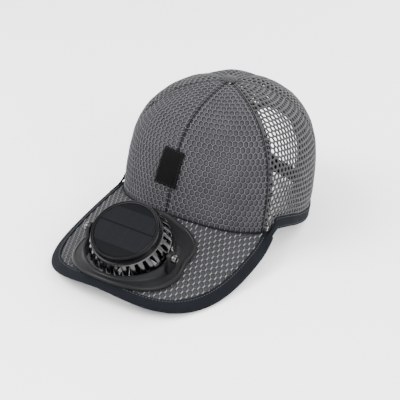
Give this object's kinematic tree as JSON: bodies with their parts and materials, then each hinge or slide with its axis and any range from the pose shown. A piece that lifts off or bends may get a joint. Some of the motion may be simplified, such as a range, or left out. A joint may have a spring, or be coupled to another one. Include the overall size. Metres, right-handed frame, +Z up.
{
  "type": "solar fan hat",
  "caption": "Mesh baseball cap with a tilting solar-powered fan set through its visor and a strap across the opening at the back.",
  "frame": {"origin": "middle of the footprint, on the surface that the cap stands on", "axes": "+Z up, the visor points along -Y, +X is the wearer's left"},
  "size_m": [0.1802, 0.3227, 0.144],
  "materials": {
    "crown_net": "grey honeycomb net over dark backing",
    "visor_net": "grey net with bright dashes over dark board cover",
    "binding_tape": "near-black woven tape",
    "woven_label": "bare black woven patch",
    "matte_black": "satin moulded",
    "gloss_black": "polished moulded",
    "solar_cell": "hatched cells under clear resin",
    "steel": "satin"
  },
  "bodies": {
    "cap": {"crown_panel_front_left": "crown_net", "crown_panel_front_right": "crown_net", "crown_panel_side_left": "crown_net", "crown_panel_side_right": "crown_net", "crown_panel_back_left": "crown_net", "crown_panel_back_right": "crown_net", "top_button": "crown_net", "label": "woven_label", "rim_band_left": "binding_tape", "rim_band_right": "binding_tape", "arch_tape": "binding_tape", "back_strap": "binding_tape", "strap_buckle": "matte_black", "visor": "visor_net", "visor_binding": "binding_tape", "fan_base": "matte_black", "clamp_ring": "matte_black"},
    "fan": {"fan_housing": "gloss_black", "solar_tray": "matte_black", "solar_cells": "solar_cell", "motor": "steel", "outlet_grille": "matte_black", "pivot_pin_left": "gloss_black", "pivot_pin_right": "gloss_black"},
    "rotor": {"fan_rotor": "gloss_black"}
  },
  "joints": [
    {"name": "fan_tilt", "type": "hinge", "parent": "cap", "child": "fan", "pos_m": [0, -0.11029, 0.03772], "axis": [1, 0, 0], "range_deg": [-40, 10]},
    {"name": "rotor_spin", "type": "hinge", "parent": "fan", "child": "rotor", "pos_m": [0, -0.11029, 0.03772], "axis": [0, -0.4895, 0.872], "continuous": true}
  ]
}
